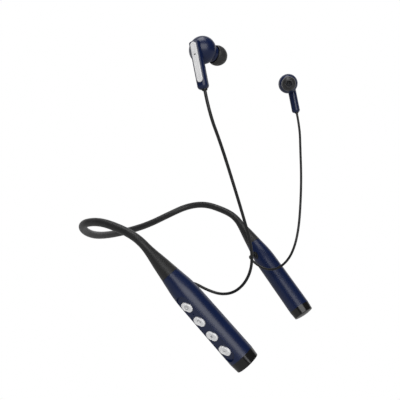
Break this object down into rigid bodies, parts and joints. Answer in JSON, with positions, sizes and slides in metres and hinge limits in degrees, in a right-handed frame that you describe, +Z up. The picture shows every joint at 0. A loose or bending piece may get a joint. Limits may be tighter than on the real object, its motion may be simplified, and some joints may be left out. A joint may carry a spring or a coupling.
{
  "type": "neckband earphones",
  "caption": "Wireless neckband earphones: a soft silicone band with two tapered hard arms, control keys on the right arm, and corded in-ear buds with stems held up as worn.",
  "frame": {"origin": "inner side of the band at the middle of its back, where it rests on the wearer's neck", "axes": "+X to the wearer's front, +Y to the wearer's left, +Z up"},
  "size_m": [0.1438, 0.1606, 0.19],
  "materials": {
    "band_silicone": "matt dark grey silicone",
    "spring_steel": "bare spring steel",
    "lead_jacket": "thin black jacket",
    "barrel_shell": "smooth dark navy, semi-gloss",
    "key_plastic": "satin pale grey",
    "switch_metal": "bright stamped cover",
    "circuit_board": "green solder mask",
    "mic_can": "thin metal can",
    "shield_can": "tinned shield",
    "port_steel": "stainless shell",
    "cap_plastic": "black, semi-gloss",
    "cord_jacket": "soft matt jacket",
    "cell_pouch": "foil pouch",
    "bud_shell": "smooth, near black",
    "stem_plate": "satin pale grey",
    "driver_can": "drawn can",
    "mesh_steel": "fine woven mesh",
    "tip_silicone": "soft silicone"
  },
  "bodies": {
    "neckband": {"band_sleeve": "band_silicone", "memory_wire": "spring_steel", "signal_lead": "lead_jacket"},
    "right_arm": {"right_boot": "band_silicone", "right_barrel": "barrel_shell", "tact_switches": "switch_metal", "control_board": "circuit_board", "call_microphone": "mic_can", "radio_module": "shield_can", "charging_port": "port_steel", "right_end_cap": "cap_plastic", "right_cord_gland": "cord_jacket", "right_cord": "cord_jacket"},
    "left_arm": {"left_boot": "band_silicone", "left_barrel": "barrel_shell", "battery_cell": "cell_pouch", "battery_guard_board": "circuit_board", "left_end_cap": "cap_plastic", "left_cord_gland": "cord_jacket", "left_cord": "cord_jacket"},
    "power_key": {"button_power": "key_plastic"},
    "call_key": {"button_call": "key_plastic"},
    "volume_up_key": {"button_volume_up": "key_plastic"},
    "volume_down_key": {"button_volume_down": "key_plastic"},
    "right_bud": {"right_bud_rear_shell": "bud_shell", "right_bud_front_shell": "bud_shell", "right_stem_plate": "stem_plate", "right_bud_microphone": "mic_can", "right_speaker_driver": "driver_can", "right_nozzle_mesh": "mesh_steel", "right_cord_grommet": "cord_jacket"},
    "right_tip": {"right_ear_tip": "tip_silicone"},
    "left_bud": {"left_bud_rear_shell": "bud_shell", "left_bud_front_shell": "bud_shell", "left_stem_plate": "stem_plate", "left_bud_microphone": "mic_can", "left_speaker_driver": "driver_can", "left_nozzle_mesh": "mesh_steel", "left_cord_grommet": "cord_jacket"},
    "left_tip": {"left_ear_tip": "tip_silicone"}
  },
  "joints": [
    {"name": "right_arm_flex", "type": "hinge", "parent": "neckband", "child": "right_arm", "pos_m": [0.07181, -0.06744, 0.00532], "axis": [0, 0, -1], "range_deg": [-8, 25], "stiffness_Nm_per_rad": 0.25, "deforming": ["right_boot", "memory_wire", "signal_lead"]},
    {"name": "left_arm_flex", "type": "hinge", "parent": "neckband", "child": "left_arm", "pos_m": [0.07181, 0.06744, 0.00532], "axis": [0, 0, 1], "range_deg": [-8, 25], "stiffness_Nm_per_rad": 0.25, "deforming": ["left_boot", "memory_wire", "signal_lead"]},
    {"name": "power_press", "type": "slide", "parent": "right_arm", "child": "power_key", "axis": [0.0978, 0.9495, 0.2983], "range_m": [0, 0.0003], "stiffness_N_per_m": 4000},
    {"name": "call_press", "type": "slide", "parent": "right_arm", "child": "call_key", "axis": [0.0978, 0.9495, 0.2983], "range_m": [0, 0.0003], "stiffness_N_per_m": 4000},
    {"name": "volume_up_press", "type": "slide", "parent": "right_arm", "child": "volume_up_key", "axis": [0.0978, 0.9495, 0.2983], "range_m": [0, 0.0003], "stiffness_N_per_m": 4000},
    {"name": "volume_down_press", "type": "slide", "parent": "right_arm", "child": "volume_down_key", "axis": [0.0978, 0.9495, 0.2983], "range_m": [0, 0.0003], "stiffness_N_per_m": 4000},
    {"name": "right_bud_twist", "type": "hinge", "parent": "right_arm", "child": "right_bud", "pos_m": [0.11716, -0.07671, 0.0949], "axis": [-0.2164, 0, 0.9763], "range_deg": [-40, 40], "stiffness_Nm_per_rad": 0.002},
    {"name": "right_tip_pull_off", "type": "slide", "parent": "right_bud", "child": "right_tip", "axis": [0.3723, 0.9157, -0.1509], "range_m": [0, 0.009]},
    {"name": "left_bud_twist", "type": "hinge", "parent": "left_arm", "child": "left_bud", "pos_m": [0.11716, 0.07671, 0.0949], "axis": [0.2164, 0, -0.9763], "range_deg": [-40, 40], "stiffness_Nm_per_rad": 0.002},
    {"name": "left_tip_pull_off", "type": "slide", "parent": "left_bud", "child": "left_tip", "axis": [0.3723, -0.9157, -0.1509], "range_m": [0, 0.009]}
  ]
}
